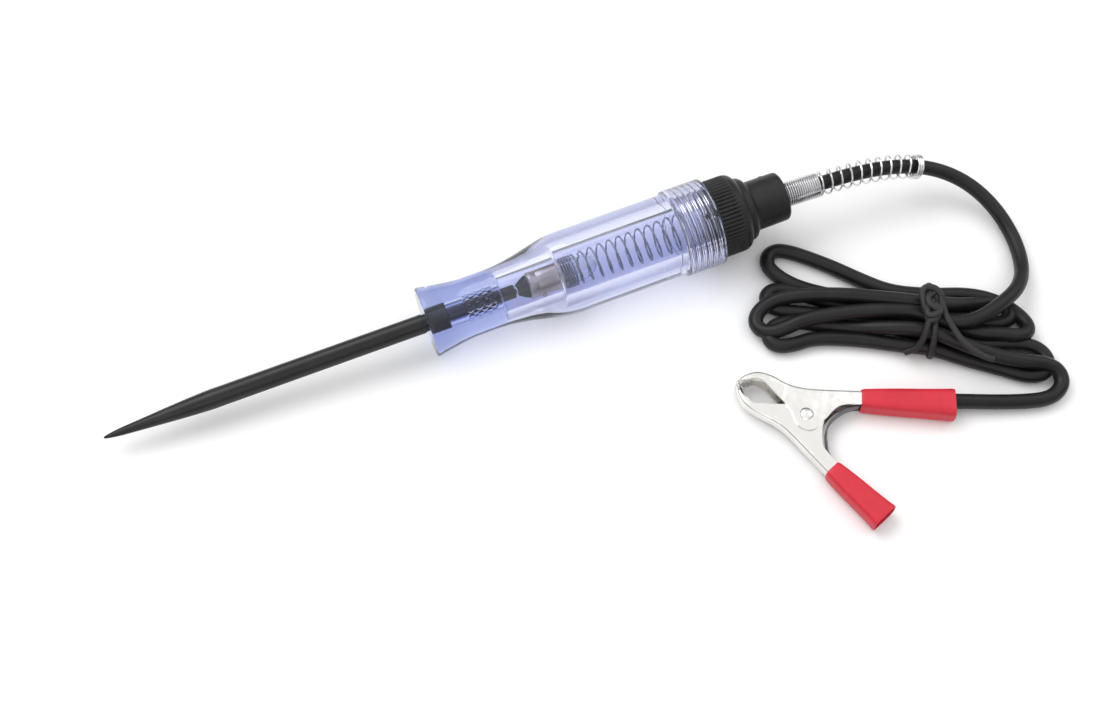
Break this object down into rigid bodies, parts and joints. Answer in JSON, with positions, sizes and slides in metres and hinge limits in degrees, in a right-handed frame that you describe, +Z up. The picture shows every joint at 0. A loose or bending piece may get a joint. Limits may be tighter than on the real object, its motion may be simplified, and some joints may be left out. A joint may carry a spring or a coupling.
{
  "type": "circuit test light",
  "caption": "Pointed probe in a clear screw-together handle with a lamp inside, ribbed end cap, and a tied lead ending in a spring clip.",
  "frame": {"origin": "under the middle of the tool's length, on the surface that it lies on", "axes": "+X from the spike towards the end cap, +Z up; the tool's own axis leans up towards the cap by 2.6 degrees"},
  "size_m": [0.2256, 0.0941, 0.0227],
  "materials": {
    "spike_steel": "satin black oxide",
    "clear_handle": "clear bluish plastic, polished",
    "lamp_insulator": "dark moulded insulator",
    "lamp_shell": "dull nickel on brass",
    "lamp_glass": "thin clear glass",
    "lead_wire": "fine drawn wire",
    "spring_steel": "bright drawn wire",
    "spring_zinc": "bright zinc plate",
    "cup_nickel": "pressed nickel plate",
    "solder": "dull solder",
    "copper": "bare stranded copper",
    "cap_plastic": "satin black moulding",
    "cable_pvc": "flexible black PVC",
    "tie_plastic": "black plastic strip",
    "clip_nickel": "nickel plated pressed steel",
    "strip_steel": "blued spring strip",
    "red_vinyl": "soft red vinyl"
  },
  "bodies": {
    "cap_and_lead": {"end_cap": "cap_plastic", "contact_cup": "cup_nickel", "cap_solder": "solder", "cap_conductor": "copper", "strain_spring": "spring_zinc", "cable_arc": "cable_pvc", "cable_hank": "cable_pvc", "cable_lead": "cable_pvc", "cable_tie": "tie_plastic", "clip_fixed_jaw": "clip_nickel", "clip_rivet": "clip_nickel", "clip_spring": "strip_steel", "clip_grip_fixed": "red_vinyl", "clip_conductor": "copper"},
    "lamp": {"bulb_contact": "solder", "bulb_insulator": "lamp_insulator", "bulb_shell": "lamp_shell", "bulb_glass": "lamp_glass", "bulb_bead": "lamp_glass", "bulb_leads": "lead_wire", "bulb_filament": "lead_wire", "contact_spring": "spring_steel"},
    "handle": {"handle_body": "clear_handle", "probe_spike": "spike_steel"},
    "clip_lever": {"clip_lever_jaw": "clip_nickel", "clip_grip_lever": "red_vinyl"}
  },
  "joints": [
    {"name": "lamp_travel", "type": "slide", "parent": "cap_and_lead", "child": "lamp", "axis": [-0.999, 0, -0.0454], "range_m": [0, 0.003], "deforming": ["contact_spring"]},
    {"name": "handle_unscrew", "type": "hinge", "parent": "lamp", "child": "handle", "pos_m": [-0.00673, 0, 0.00855], "axis": [-0.999, 0, -0.0454], "range_deg": [0, 720]},
    {"name": "jaw_open", "type": "hinge", "parent": "cap_and_lead", "child": "clip_lever", "pos_m": [0.0686, -0.0527, 0.0027], "axis": [0, 0, 1], "range_deg": [0, 32], "stiffness_Nm_per_rad": 0.02, "springref_deg": -57.3, "deforming": ["clip_spring"]}
  ],
  "couplings": [
    {"joint": "lamp_travel", "follows": "handle_unscrew", "m_per_rad": 0.00023873}
  ]
}
